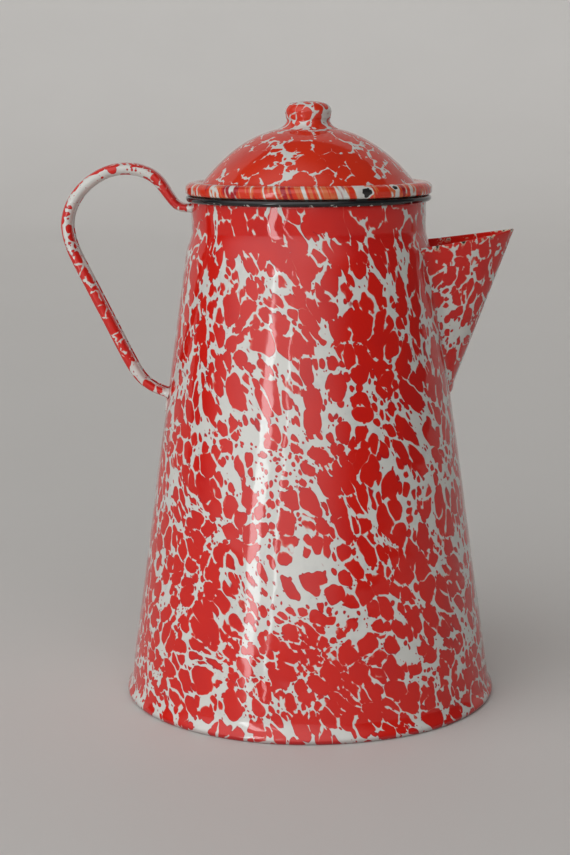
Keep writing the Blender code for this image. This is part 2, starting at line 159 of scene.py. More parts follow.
def turned(name, section, steps, lining=None, error=0.0, grain=22.0, seed=0.0):
    """A turned surface from an (r, z) section; a section with no point on the axis is closed."""
    points, rings, marks = [], [], []
    for index, (radius, height) in enumerate(section):
        count = 1 if radius < ON_AXIS else steps
        rings.append(range(len(points), len(points) + count))
        for i in range(count):
            angle = 2 * math.pi * i / steps
            unit = Vector((math.cos(angle), math.sin(angle), 0.0))
            spot = unit * radius + Vector((0.0, 0.0, height))
            if count > 1 and error:
                spot += unit * hand_made(spot, error, grain, seed)
            points.append(spot)
            marks.append(lining[index] if lining else 0.0)
    ends_on_axis = len(rings[0]) == 1 or len(rings[-1]) == 1
    pairs = list(zip(rings, rings[1:])) + ([] if ends_on_axis else [(rings[-1], rings[0])])
    faces = []
    for upper, lower in pairs:
        for i in range(steps):
            j = (i + 1) % steps
            if len(upper) == 1:
                faces.append((upper[0], lower[i], lower[j]))
            elif len(lower) == 1:
                faces.append((upper[i], lower[0], upper[j]))
            else:
                faces.append((upper[i], lower[i], lower[j], upper[j]))
    return mesh_object(name, points, faces, marks)


def skin(name, rows, lining=None, closed_rows=False, cap=False):
    """A surface through rows of points that have equal length."""
    width = len(rows[0])
    points = [point for row in rows for point in row]
    faces = []
    for r in range(len(rows) - 1):
        for i in range(width if closed_rows else width - 1):
            j = (i + 1) % width
            faces.append((r * width + i, r * width + j, (r + 1) * width + j, (r + 1) * width + i))
    if cap:
        faces.append(tuple(range(width)))
        faces.append(tuple(range(len(points) - width, len(points)))[::-1])
    return mesh_object(name, points, faces, lining)


# ---- the pot
def cone_radius(height):
    """Outside radius of the straight cone."""
    share = (height - CONE_FOOT.y) / (CONE_TOP.y - CONE_FOOT.y)
    return CONE_FOOT.x + share * (CONE_TOP.x - CONE_FOOT.x)


def pot_body():
    """Collar, shoulder, cone and the foot that flares out and is rolled in just over the table."""
    top = POT_HIGH.z + 0.0008
    cone_top, cone_end = 0.2130, 0.0110
    shoulder = spline([(COLLAR_RADIUS, top), (COLLAR_RADIUS, 0.2385), (COLLAR_RADIUS - 0.0002, 0.2330),
                       (COLLAR_RADIUS, 0.2290), (0.0581, 0.2255), (0.0594, 0.2218), (0.0602, 0.2180),
                       (cone_radius(cone_top), cone_top)], 6)
    levels = [cone_top + (cone_end - cone_top) * i / 64 for i in range(1, 65)]
    cone = [Vector((cone_radius(level), level)) for level in levels]
    reach = POT_HIGH.x
    flare = spline([cone[-2], cone[-1], (0.0898, 0.0080), (0.0906, 0.0055), (reach - 0.0005, 0.0034),
                    (reach, 0.0020)], 4)[5:]
    roll = arc((reach - 0.0012, 0.0018), 0.0012, 0.0017, -8, -115, 9)
    section, lining = sheet_section(shoulder + cone + flare + roll)
    return turned("pot_body_enamelled", section, 240, lining, error=POT_ERROR)


def mouth_bead():
    """The rolled wire edge of the pot's mouth."""
    half = (BEAD_HIGH.z - BEAD_LOW.z) / 2
    middle = (BEAD_HIGH.x - half - 0.0001, BEAD_LOW.z + half)
    section = arc(middle, half + 0.0001, half, 90, -255, 23)
    return turned("mouth_bead_enamelled", section, 240, error=BEAD_ERROR)


def bottom_pan():
    """The pot's flat bottom, with a rounded edge."""
    top, edge, bend = PAN_HIGH.z, PAN_HIGH.x, 0.0006
    section = [(0.0, top), (edge * 0.5, top), (edge - bend, top)]
    section += arc((edge - bend, top / 2), bend, top / 2, 80, -80, 6)
    section += [(edge - bend, 0.0), (edge * 0.5, 0.0), (0.0, 0.0)]
    return turned("bottom_pan_enamelled", section, 160)


# ---- the spout
HEEL_X = 0.0718  # where the keel meets the body
HEEL_Z = 0.1554
TOE_DROP = 0.07  # share of the height over which the lower end closes
FILLET_REACH = 0.0045  # how far the weld's enamel runs out on the body
SPOUT_ROOT_TOP = 0.2223  # height of the spout's upper edge where it leaves the body
SPOUT_TOP_WIDTH = 0.0245  # half the spout's width at that edge
SPOUT_HEEL_WIDTH = 0.0130  # half its width at the heel
HEM_HEIGHT = 0.0016
LIP_HEIGHT = 0.0008
LIP_SWELL = 1.25  # width of the rolled lip as a share of the sheet's thickness


def spout_rib(share, steps=14):
    """One line across the spout's outer face: along the body, up the cheek, to the keel and back."""
    shut = max(0.0, -share / TOE_DROP)
    swell = math.sqrt(max(0.0, 1.0 - shut ** 2))
    up = max(share, 0.0)
    level = HEEL_Z + share * (SPOUT_ROOT_TOP - HEEL_Z)
    radius = cone_radius(level)
    half = SPOUT_HEEL_WIDTH + (SPOUT_TOP_WIDTH - SPOUT_HEEL_WIDTH) * up ** 1.7
    half *= 0.45 + 0.55 * swell
    root = Vector((math.sqrt(radius ** 2 - half ** 2), half, level))
    keel = Vector((HEEL_X + up * (SPOUT_HIGH.x - HEEL_X), 0.0,
                   HEEL_Z + share * (SPOUT_HIGH.z - HEEL_Z)))
    keel.x = radius + (keel.x - radius) * swell
    bulge = root + Vector((0.67 * (keel.x - root.x), -0.18 * half, 0.5 * (keel.z - level)))
    cheek = []
    for i in range(steps + 1):
        t = i / steps
        cheek.append(root * (1 - t) ** 2 + bulge * 2 * t * (1 - t) + keel * t ** 2)
    angle = math.atan2(root.y, root.x) + FILLET_REACH / radius
    foot = Vector((radius * math.cos(angle), radius * math.sin(angle), level))
    fillet = []
    for i in range(9):
        t = i / 9
        fillet.append(foot * (1 - t) ** 2 + root * 2 * t * (1 - t) + cheek[3] * t ** 2)
    near = fillet + cheek[3:]
    return near + [Vector((p.x, -p.y, p.z)) for p in reversed(near[:-1])]


def spout_lining(rib):
    """The inner face of a rib: a sheet's thickness inside it, and just inside the body's face."""
    inner = []
    for i, point in enumerate(rib):
        along = rib[min(i + 1, len(rib) - 1)] - rib[max(i - 1, 0)]
        inwards = Vector((-along.y, along.x, 0.0)).normalized()
        if inwards.x > 0.0 or (inwards.x == 0.0 and point.x > 0.0):
            inwards.negate()
        spot = point + inwards * SHEET
        flat = Vector((spot.x, spot.y))
        least = cone_radius(point.z) - 0.0004
        if flat.length < least:
            flat = flat.normalized() * least
        inner.append(Vector((flat.x, flat.y, spot.z)))
    return inner


def spout():
    """A folded trough from ribs, with a rolled lip; its upper edge is marked as the hem."""
    shares = [-TOE_DROP * math.sin(math.pi / 2 * i / 6) for i in range(6, 0, -1)]
    shares += [i / 48 for i in range(49)]
    outer = [spout_rib(share) for share in shares]
    inner = [spout_lining(rib) for rib in outer]
    lip = []
    for i in range(1, 6):
        turn = math.pi * i / 6
        lip.append([(a + b) / 2 + (a - b) / 2 * math.cos(turn) * LIP_SWELL
                    + Vector((0.0, 0.0, LIP_HEIGHT * math.sin(turn)))
                    for a, b in zip(outer[-1], inner[-1])])
    rows = outer + lip + inner[::-1]
    rows.append(rows[0])
    marks = [0.0] * len(outer[0]) * (len(outer) + 3) + [1.0] * len(outer[0]) * (len(inner) + 2)
    marks += [0.0] * len(outer[0])
    piece = skin("spout_enamelled", rows, marks)
    weld(piece)
    hem = piece.data.attributes.new("hem", 'FLOAT', 'POINT')
    rise = (SPOUT_HIGH.z - SPOUT_ROOT_TOP) / (SPOUT_HIGH.x - cone_radius(SPOUT_ROOT_TOP))
    for vertex, mark in zip(piece.data.vertices, hem.data):
        edge = SPOUT_ROOT_TOP + rise * (vertex.co.x - cone_radius(SPOUT_ROOT_TOP))
        mark.value = max(0.0, min(1.0, 1.0 + (vertex.co.z - edge) / HEM_HEIGHT))
    return piece


def weld(piece, distance=0.00002):
    """Close a skin whose first and last points coincide."""
    mesh = bmesh.new()
    mesh.from_mesh(piece.data)
    bmesh.ops.remove_doubles(mesh, verts=mesh.verts, dist=distance)
    open_edges = [edge for edge in mesh.edges if len(edge.link_faces) == 1]
    bmesh.ops.holes_fill(mesh, edges=open_edges, sides=0)
    bmesh.ops.recalc_face_normals(mesh, faces=mesh.faces)
    mesh.to_mesh(piece.data)
    mesh.free()
    piece.data.shade_smooth()


# ---- the handle
HANDLE_ROUTE = [(-0.0562, 0.2414), (-0.0605, 0.2415), (-0.0641, 0.2430), (-0.0677, 0.2475),
                (-0.0701, 0.2511), (-0.0732, 0.2549), (-0.0778, 0.2581), (-0.0840, 0.2600),
                (-0.0920, 0.2601), (-0.1002, 0.2576), (-0.1085, 0.2519), (-0.1142, 0.2445),
                (-0.1169, 0.2370), (-0.1170, 0.2300), (-0.1143, 0.2203), (-0.1062, 0.2036),
                (-0.0964, 0.1838), (-0.0910, 0.1727), (-0.0862, 0.1636), (-0.0823, 0.1580),
                (-0.0775, 0.1541), (-0.0715, 0.1513), (-0.0690, 0.1505)]
HANDLE_WALL = 0.0009
HANDLE_SLOT = 0.0023  # half the open seam on the hand's side
THIN_ENDS = 0.0042  # depth of the strap at its flattened ends
FULL_DEPTH = 0.0060  # its depth between them
TAPER = 0.030  # length over which the strap flattens towards an end
WELD = 0.0024  # length over which the enamel swells at a weld
WELD_SWELL = 0.30


def strap_section(half, deep):
    """Section of the rolled strap as (across, outwards), crowned behind, open on the hand's side."""
    start = -math.acos((HANDLE_SLOT / half) ** (1 / 0.62))
    outer = []
    for i in range(17):
        angle = start + (math.pi / 2 - 0.12 - start) * i / 16
        outer.append(Vector((half * math.cos(angle) ** 0.62,
                             math.copysign(deep * abs(math.sin(angle)) ** 0.8, angle))))
    inner = offset(outer, -HANDLE_WALL)[::-1]
    left = [Vector((-p.x, p.y)) for p in reversed(outer)]
    inner_left = [Vector((-p.x, p.y)) for p in reversed(inner)]
    back, back_inside = Vector((0.0, deep)), Vector((0.0, deep - HANDLE_WALL))
    return outer + [back] + left + inner_left + [back_inside] + inner


def weld_tab():
    """The flattened end of the strap, bent down on the body under the handle."""
    top, drop, half_angle = 0.1508, 0.0105, 0.0072 / 0.0697
    rows = []
    for i in range(13):
        down = i / 12
        row = []
        for j in range(13):
            side = j / 6 - 1
            height = top - drop * down * (1 - 0.25 * side ** 2)
            edge = (1 - side ** 4) * (1 - down ** 5)
            radius = cone_radius(height) + 0.0009 * max(edge, 0.0) ** 0.35 - 0.0002
            angle = math.pi + half_angle * side
            row.append(Vector((radius * math.cos(angle), radius * math.sin(angle), height)))
        rows.append(row)
    return rows


def handle():
    """The rolled strap along its route, flattened at both ends, with its outer face marked."""
    half = (HANDLE_HIGH.y - HANDLE_LOW.y) / 2
    route = spline([(x, 0.0, z) for x, z in HANDLE_ROUTE], 8)
    lengths = [0.0]
    for here, there in zip(route, route[1:]):
        lengths.append(lengths[-1] + (there - here).length)
    rows = []
    for i, point in enumerate(route):
        along = (route[min(i + 1, len(route) - 1)] - route[max(i - 1, 0)]).normalized()
        outwards = Vector((along.z, 0.0, -along.x))
        from_end = min(lengths[i], lengths[-1] - lengths[i])
        full = min(1.0, from_end / TAPER)
        deep = (THIN_ENDS + (FULL_DEPTH - THIN_ENDS) * full * full * (3 - 2 * full)) / 2
        swell = 1.0 + WELD_SWELL * max(0.0, 1.0 - from_end / WELD) ** 2
        rows.append([point + Vector((0.0, p.x * swell, 0.0)) + outwards * p.y * swell
                     for p in strap_section(half, deep)])
    strap = skin("handle_enamelled", rows, closed_rows=True, cap=True)
    faced = len(strap.data.vertices)
    join(strap, skin("weld_tab", weld_tab()))
    outer = strap.data.attributes.new("outer", 'FLOAT', 'POINT')
    heights = [max(0.0, p.y / (FULL_DEPTH / 2)) for _ in rows for p in strap_section(half, FULL_DEPTH / 2)]
    for mark, height in zip(outer.data[:faced], heights):
        mark.value = height
    return strap


def join(piece, other):
    """Put another object's mesh into a piece."""
    mesh = bmesh.new()
    mesh.from_mesh(piece.data)
    mesh.from_mesh(other.data)
    mesh.to_mesh(piece.data)
    mesh.free()
    bpy.data.objects.remove(other)
    piece.data.shade_smooth()


# ---- the lid
def dome_height(radius):
    """Height of the lid's dome above a radius."""
    share = radius / DOME_RADIUS
    return DOME_FOOT + (LID_HIGH.z - DOME_FOOT) * (1 - share ** DOME_POWER)


def lid_shell():
    """Dome, groove and rolled rim; the rim is chipped in two places."""
    reach = 0.0490
    radii = [0.0023] + [reach * math.sin(math.pi / 2 * i / 34) for i in range(3, 35)]
    dome = [Vector((radius, dome_height(radius))) for radius in radii]
    wide, tall, bend = 0.0041, 0.0030, 0.0013
    low = LID_LOW.z
    roll = arc((LID_HIGH.x - wide, low + tall), wide, tall, 112, -10, 22)
    lip = arc((LID_HIGH.x - bend, low + bend), bend, bend, -12, -90, 6) + [Vector((0.0565, low))]
    valley = spline([dome[-2], dome[-1], (0.0505, dome_height(0.0505)), (0.0513, 0.2539),
                     (0.0519, 0.2533), (0.0528, 0.2531), roll[0], roll[1]], 5)[5:-5]
    section, lining = sheet_section(dome[:-1] + valley + roll[1:] + lip)
    piece = turned("lid_shell_enamelled", section, 480, lining, error=LID_ERROR, seed=7.0)
    for place, size in CHIPS:
        dent(piece, place, size, CHIP_DEPTH)
    return piece


def dent(piece, place, size, depth):
    """Sink the surface round a place, as where enamel has chipped off."""
    for vertex in piece.data.vertices:
        near = 1.0 - (vertex.co - place).length / (1.3 * size)
        if near > 0.0:
            inwards = -Vector((vertex.co.x, vertex.co.y, 0.0)).normalized()
            vertex.co += inwards * depth * min(1.0, 3.0 * near)


def lid_skirt():
    """The ring under the lid that drops into the mouth."""
    outer = spline([(SKIRT_HIGH.x, SKIRT_HIGH.z), (SKIRT_HIGH.x, SKIRT_LOW.z + 0.006),
                    (SKIRT_HIGH.x, SKIRT_LOW.z + 0.0012), (SKIRT_HIGH.x - 0.0005, SKIRT_LOW.z)], 6)
    section, lining = sheet_section(outer)
    return turned("lid_skirt_enamelled", section, 200, lining)


def lid_knob():
    """Pressed knob whose enamel runs out smoothly on the dome."""
    top = KNOB_HIGH.z
    wide = KNOB_HIGH.x
    neck = KNOB_NECK
    foot = neck + 0.0042
    outer = spline([(0.0, top), (0.0032, top - 0.0001), (0.0062, top - 0.0005), (0.0088, top - 0.0013),
                    (wide - 0.0008, top - 0.0028), (wide, top - 0.0046), (wide - 0.0003, top - 0.0064),
                    (neck + 0.0004, top - 0.0080), (neck, top - 0.0092), (neck + 0.0004, top - 0.0104),
                    (neck + 0.0017, dome_height(neck) + 0.0007), (foot, dome_height(foot))], 6)
    inner = offset(outer, SHEET)
    inner[0] = Vector((0.0, top - SHEET))
    section = outer + inner[:0:-1] + [inner[0]]
    return turned("lid_knob_enamelled", section, 128, error=KNOB_ERROR, grain=90.0, seed=3.0)


def knob_stud():
    """The rivet that holds the knob, with its head under the dome."""
    top, under = STUD_HIGH.z, STUD_LOW.z + 0.0020
    section = [(0.0, top), (0.0018, top), (0.0020, top - 0.0003), (0.0020, under + 0.0003),
               (0.0022, under), (0.0040, under)]
    section += arc((0.0, under - 0.0002), STUD_HIGH.x, 0.0018, 0, -90, 10)[:-1]
    section += [(0.0, STUD_LOW.z)]
    return turned("knob_stud_bright", section, 48)


# ---- the pump and the basket
HOLES_FROM = 0.0125  # radius of the innermost ring of holes
HOLES_TO = 0.0430
HOLE_PITCH = 0.0072
HOLE_RING_COUNT = 6
CUP_HOLE = 0.0012  # radius
SPREADER_HOLE = 0.0011
DRILL_LENGTH = 0.006
BELL_SLOT = (0.008, 0.09, 0.006)  # width, length over both sides, height


def plain_mesh(shape, name):
    """Turn a bmesh into a mesh."""
    mesh = bpy.data.meshes.new(name)
    shape.to_mesh(mesh)
    shape.free()
    return mesh


def drills(name, places, radius):
    """A cutter of upright round drills."""
    shape = bmesh.new()
    for place in places:
        made = bmesh.ops.create_cone(shape, cap_ends=True, segments=16, radius1=radius,
                                     radius2=radius, depth=DRILL_LENGTH)["verts"]
        bmesh.ops.translate(shape, verts=made, vec=place)
    return plain_mesh(shape, name)


def cut(piece, cutter_mesh):
    """Cut a mesh out of a piece and keep only the result."""
    cutter = bpy.data.objects.new(cutter_mesh.name, cutter_mesh)
    bpy.context.scene.collection.objects.link(cutter)
    boolean = piece.modifiers.new("cut", 'BOOLEAN')
    boolean.operation = 'DIFFERENCE'
    boolean.solver = 'EXACT'
    boolean.object = cutter
    bpy.context.view_layer.update()
    result = bpy.data.meshes.new_from_object(piece.evaluated_get(bpy.context.evaluated_depsgraph_get()))
    piece.modifiers.clear()
    piece.data = result
    result.shade_smooth()
    result.set_sharp_from_angle(angle=math.radians(35))
    bpy.data.objects.remove(cutter)


def hole_rings(height):
    """Places of holes in rings, each ring turned half a step against the next."""
    places = []
    for ring in range(HOLE_RING_COUNT):
        radius = HOLES_FROM + ring * (HOLES_TO - HOLES_FROM) / (HOLE_RING_COUNT - 1)
        count = round(2 * math.pi * radius / HOLE_PITCH)
        for i in range(count):
            angle = 2 * math.pi * (i + 0.5 * (ring % 2)) / count
            places.append((radius * math.cos(angle), radius * math.sin(angle), height))
    return places


def pump_base():
    """The bell that stands on the bottom, with four slots where water gets in."""
    hub = TUBE_HIGH.x + 0.0003 + THIN_SHEET
    outer = spline([(hub, BELL_HIGH.z), (hub, 0.0265), (hub + 0.0003, 0.0235), (0.0100, 0.0205),
                    (0.0220, 0.0165), (0.0330, 0.0115), (0.0385, 0.0060),
                    (BELL_HIGH.x * 1.01, BELL_LOW.z)], 5)
    section, lining = sheet_section(outer, THIN_SHEET)
    piece = turned("pump_base_bright", section, 120, lining)
    shape = bmesh.new()
    for turn in range(2):
        bar = bmesh.ops.create_cube(shape, size=1.0)["verts"]
        width, length, height = BELL_SLOT
        size = (length, width, height) if turn else (width, length, height)
        bmesh.ops.scale(shape, vec=size, verts=bar)
        bmesh.ops.translate(shape, vec=(0, 0, 0.0012 + 0.00001 * turn), verts=bar)
    cut(piece, plain_mesh(shape, "slot_bars"))
    return piece


def pump_tube():
    """The stem that the water climbs, with rounded ends."""
    height = TUBE_HIGH.z - TUBE_LOW.z
    outer = [Vector((TUBE_HIGH.x, TUBE_HIGH.z - height * i / 12)) for i in range(13)]
    section, lining = sheet_section(outer, THIN_SHEET)
    return turned("pump_tube_bright", section, 64, lining)


def basket_stop():
    """The collar on the stem that the basket rests on."""
    wide, hub = STOP_HIGH.x, TUBE_HIGH.x + 0.0002
    section = [(hub, STOP_HIGH.z), (wide - 0.0010, STOP_HIGH.z)]
    section += arc((wide - 0.0010, STOP_HIGH.z - 0.0010), 0.0010, 0.0010, 80, -20, 6)
    section += [(wide - 0.0014, STOP_LOW.z + 0.0003), (wide - 0.0018, STOP_LOW.z), (hub, STOP_LOW.z)]
    return turned("basket_stop_bright", section, 64)


def basket_cup():
    """The cup for the grounds: rolled rim, straight wall, drilled floor."""
    wall = CUP_HIGH.x - 0.0014
    top, floor = CUP_HIGH.z, CUP_LOW.z
    rim = arc((wall + 0.0004, top - 0.0011), 0.0010, 0.0011, 100, -70, 9)
    side = [Vector((wall, top - 0.0030 - (top - 0.0075 - floor) * i / 8)) for i in range(9)]
    heel = arc((wall - 0.0040, floor + 0.0040), 0.0040, 0.0040, -8, -90, 8)
    sleeve = SLEEVE_HIGH.x - 0.0100 + TUBE_HIGH.x + 0.0018
    under = [Vector((wall - 0.008, floor)), Vector((0.024, floor)), Vector((sleeve, floor))]
    section, lining = sheet_section(rim + side + heel + under, THIN_SHEET)
    piece = turned("basket_cup_bright", section, 120, lining)
    cut(piece, drills("cup_drills", hole_rings(floor), CUP_HOLE))
    return piece


def basket_sleeve():
    """The tube up the middle of the cup, with a flange on the cup's floor."""
    bore = TUBE_HIGH.x + 0.0006
    flange = SLEEVE_LOW.z + THIN_SHEET
    outer = [Vector((bore + THIN_SHEET, SLEEVE_HIGH.z - (SLEEVE_HIGH.z - flange - 0.0014) * i / 10))
             for i in range(11)]
    outer += arc((bore + THIN_SHEET + 0.0010, flange + 0.0010), 0.0010, 0.0010, 190, 260, 4)
    outer += [Vector((SLEEVE_HIGH.x - 0.0006, flange)), Vector((SLEEVE_HIGH.x, flange - 0.0002))]
    section, lining = sheet_section(outer, THIN_SHEET)
    return turned("basket_sleeve_bright", section, 64, lining)


def spreader_plate():
    """The drilled tray that lies on the cup."""
    top = TRAY_HIGH.z
    floor = TRAY_LOW.z + THIN_SHEET
    line = [Vector((TUBE_HIGH.x + 0.0007, floor)), Vector((0.012, floor)), Vector((0.024, floor)),
            Vector((0.036, floor))]
    line += spline([(0.0450, floor), (0.0462, floor + 0.0003), (0.0470, top - 0.0005), (0.0480, top),
                    (0.0505, top), (TRAY_HIGH.x, top - 0.0002)], 5)
    section, lining = sheet_section(line, THIN_SHEET)
    piece = turned("spreader_plate_bright", section, 120, lining)
    cut(piece, drills("spreader_drills", hole_rings(floor), SPREADER_HOLE))
    return piece


# ---- material building
class Finish:
    """One procedural material.  Its methods add a node and return that node's output."""

    def __init__(self, name):
        self.material = bpy.data.materials.new(name)
        self.material.use_nodes = True
        self.tree = self.material.node_tree
        self.shader = self.tree.nodes["Principled BSDF"]
        self.place = self.node("ShaderNodeTexCoord").outputs["Object"]

    def node(self, kind, **settings):
        made = self.tree.nodes.new(kind)
        for name, value in settings.items():
            setattr(made, name, value)
        return made

    def feed(self, socket, value):
        """Set a node's input to a number or a colour, or link it to another node's output."""
        if isinstance(value, bpy.types.NodeSocket):
            self.tree.links.new(value, socket)
        elif isinstance(value, (tuple, Vector)) and socket.type == 'RGBA':
            socket.default_value = (*value, 1.0)
        else:
            socket.default_value = value

    def math(self, operation, *values):
        made = self.node("ShaderNodeMath", operation=operation)
        for socket, value in zip(made.inputs, values):
            self.feed(socket, value)
        return made.outputs[0]

    def add(self, first, second):
        return self.math('ADD', first, second)

    def times(self, first, second):
        return self.math('MULTIPLY', first, second)

    def line(self, value, slope, start):
        """A value times a slope, plus a start."""
        return self.math('MULTIPLY_ADD', value, slope, start)

    def rest(self, share):
        """What is left of 1 beside a share."""
        return self.math('SUBTRACT', 1.0, share)

    def vector(self, operation, *values):
        made = self.node("ShaderNodeVectorMath", operation=operation)
        for socket, value in zip(made.inputs, values):
            self.feed(socket, value)
        return made.outputs["Value" if operation in {'LENGTH', 'DISTANCE'} else "Vector"]

    def scale(self, vector, factor):
        made = self.node("ShaderNodeVectorMath", operation='SCALE')
        self.feed(made.inputs[0], vector)
        self.feed(made.inputs["Scale"], factor)
        return made.outputs["Vector"]

    def split(self, vector):
        made = self.node("ShaderNodeSeparateXYZ")
        self.feed(made.inputs[0], vector)
        return made.outputs

    def combine(self, x, y, z):
        made = self.node("ShaderNodeCombineXYZ")
        for socket, value in zip(made.inputs, (x, y, z)):
            self.feed(socket, value)
        return made.outputs[0]

    def step(self, value, low, high):
        """A smooth step from 0 at low to 1 at high."""
        made = self.node("ShaderNodeMapRange", interpolation_type='SMOOTHSTEP')
        for name, number in (("Value", value), ("From Min", low), ("From Max", high)):
            self.feed(made.inputs[name], number)
        return made.outputs["Result"]

    def mix(self, share, first, second):
        """From the first colour to the second."""
        made = self.node("ShaderNodeMix", data_type='RGBA')
        for socket, value in zip((made.inputs[0], made.inputs[6], made.inputs[7]), (share, first, second)):
            self.feed(socket, value)
        return made.outputs[2]

    def noise(self, size, place=None, detail=2.0, output="Fac"):
        """Soft noise from 0 to 1, in grains of a size in metres."""
        made = self.node("ShaderNodeTexNoise")
        self.feed(made.inputs["Vector"], self.place if place is None else place)
        self.feed(made.inputs["Scale"], 1.0 / size)
        self.feed(made.inputs["Detail"], detail)
        return made.outputs[output]

    def drop(self, place, size, seed):
        """Distance in metres from the nearest drop's middle, and a number of that drop's own."""
        made = self.node("ShaderNodeTexVoronoi", feature='F1')
        self.feed(made.inputs["Vector"], self.vector('ADD', place, Vector((seed, 0.3 * seed, 0.0))))
        self.feed(made.inputs["Scale"], 1.0 / size)
        own = self.split(made.outputs["Color"])[0]
        return self.math('MULTIPLY', made.outputs["Distance"], size), own

    def seam(self, place, size, seed):
        """Distance in metres from the line where neighbouring drops meet."""
        made = self.node("ShaderNodeTexVoronoi", feature='DISTANCE_TO_EDGE')
        self.feed(made.inputs["Vector"], self.vector('ADD', place, Vector((seed, 0.3 * seed, 0.0))))
        self.feed(made.inputs["Scale"], 1.0 / size)
        return self.math('MULTIPLY', made.outputs["Distance"], size)

    def mark(self, name):
        """A number painted on the mesh's points."""
        return self.node("ShaderNodeAttribute", attribute_name=name).outputs["Fac"]

    def bump(self, height, depth, below=None):
        """Relief of a height field whose full range is a depth in metres."""
        made = self.node("ShaderNodeBump")
        self.feed(made.inputs["Height"], height)
        self.feed(made.inputs["Distance"], depth)
        if below is not None:
            self.feed(made.inputs["Normal"], below)
        return made.outputs["Normal"]

    def set(self, **inputs):
        """Feed the surface shader; an underscore in a name stands for a space."""
        for name, value in inputs.items():
            self.feed(self.shader.inputs[name.replace("_", " ")], value)


# ---- enamel
RED = (0.600, 0.012, 0.006)
ORANGE_RED = (0.640, 0.030, 0.008)
CRIMSON = (0.360, 0.006, 0.014)
PALE_RED = (0.640, 0.150, 0.110)
STRIPE_ORANGE = (0.640, 0.140, 0.045)
WHITE = (0.620, 0.618, 0.575)
GREY_WHITE = (0.550, 0.555, 0.525)
THIN_ORANGE = (0.56, 0.050, 0.030)
# painted shade: dark purplish crimson for the foot's roll just over the table
PAINTED_FOOT_SHADE = (0.12, 0.01, 0.02)
RUST_EDGE = (0.62, 0.56, 0.40)
LINING_WHITE = (0.56, 0.56, 0.50)
COFFEE_FILM = (0.44, 0.42, 0.35)
COFFEE_STAIN = (0.30, 0.19, 0.10)
SPECK = (0.05, 0.05, 0.06)
BLACK = (0.008, 0.009, 0.010)
# painted reflection: dark red of the red collar seen in the black bead
BEAD_RED_REFLECTION = (0.16, 0.02, 0.015)
WORN_WHITE = (0.50, 0.50, 0.46)
BARE_STEEL = (0.020, 0.018, 0.017)

SOFT_EDGE = 0.00009  # half the width over which red turns to white
VEIN = 0.00036  # half the width of the white line between drops
KNOB_VEIN = 0.0003
DROP_SIZES = (0.0084, 0.0048, 0.0026, 0.0018)
# The radius as shares of each size: the least, what full cover adds, and the drop's own scatter.
DROP_SPANS = ((0.30, 0.40, 0.30), (0.19, 0.38, 0.36), (0.02, 0.30, 0.60), (-0.16, 0.22, 0.76))
PARTED_SIZES = 2  # the larger sizes keep veins between neighbours
ROUND_CORNER = 0.0016  # rounding where a vein meets a drop's edge
RUN_TOGETHER = 0.0002  # rounding where two drops touch
STRETCH_HEIGHT = 0.25  # height over which the drops' stretch changes

# Where there is more or less red than elsewhere: middle, radius, added cover.
BODY_PATCHES = [
    ((0.026, -0.060, 0.186), 0.022, 0.45), ((0.016, -0.070, 0.124), 0.018, 0.40),
    ((-0.006, -0.086, 0.046), 0.018, 0.40), ((0.014, -0.088, 0.026), 0.020, 0.50),
    ((0.036, -0.084, 0.014), 0.016, 0.45), ((-0.030, -0.066, 0.130), 0.026, -0.20),
    ((-0.022, -0.080, 0.066), 0.016, -0.20), ((0.000, -0.080, 0.150), 0.022, -0.25),
    ((-0.070, 0.050, 0.060), 0.035, 0.35), ((0.010, 0.075, 0.100), 0.040, 0.30)]
SPOUT_PATCHES = [((0.113, -0.006, 0.228), 0.022, 0.50)]
HANDLE_PATCHES = [
    ((-0.112, -0.007, 0.246), 0.026, -0.50), ((-0.094, -0.007, 0.256), 0.020, -0.18),
    ((-0.102, -0.007, 0.196), 0.022, 0.35), ((-0.088, -0.007, 0.172), 0.010, 0.30),
    ((-0.070, -0.007, 0.250), 0.018, 0.50), ((-0.118, -0.007, 0.226), 0.010, 0.35)]
KNOB_PATCHES = [
    ((-0.006, -0.010, 0.288), 0.007, 0.5), ((0.003, -0.010, 0.286), 0.006, 0.4),
    ((0.006, -0.009, 0.290), 0.007, 0.3), ((0.007, -0.009, 0.284), 0.005, -0.5)]


def run_down(finish, stretch_foot, stretch_top, lean):
    """Where the drops are thrown: the glaze ran down, so they are longer higher up the pot."""
    x, y, z = finish.split(finish.place)
    growth = (stretch_top - stretch_foot) / STRETCH_HEIGHT
    share = finish.add(stretch_foot, finish.times(z, growth))
    level = finish.times(z, share)
    leaning = finish.add(x, finish.times(z, lean))
    return finish.combine(leaning, y, level)


def ragged(finish, place, slow, quick, drift=0.0):
    """Shift a place by soft noise, so that round drops get lobed outlines."""
    made = place
    for size, amount in ((0.040, drift), (0.0065, slow), (0.0026, quick)):
        if amount:
            shift = finish.noise(size, place, 1.0, "Color")
            shift = finish.vector('SUBTRACT', shift, Vector((0.5, 0.5, 0.5)))
            made = finish.vector('ADD', made, finish.scale(shift, amount))
    return made


def patches(finish, spots):
    """Extra cover round some places; each is a middle, a radius and an amount."""
    total = 0.0
    for middle, radius, amount in spots:
        away = finish.vector('DISTANCE', finish.place, Vector(middle))
        near = finish.rest(finish.step(away, 0.45 * radius, radius))
        total = finish.add(total, finish.times(near, amount))
    return total


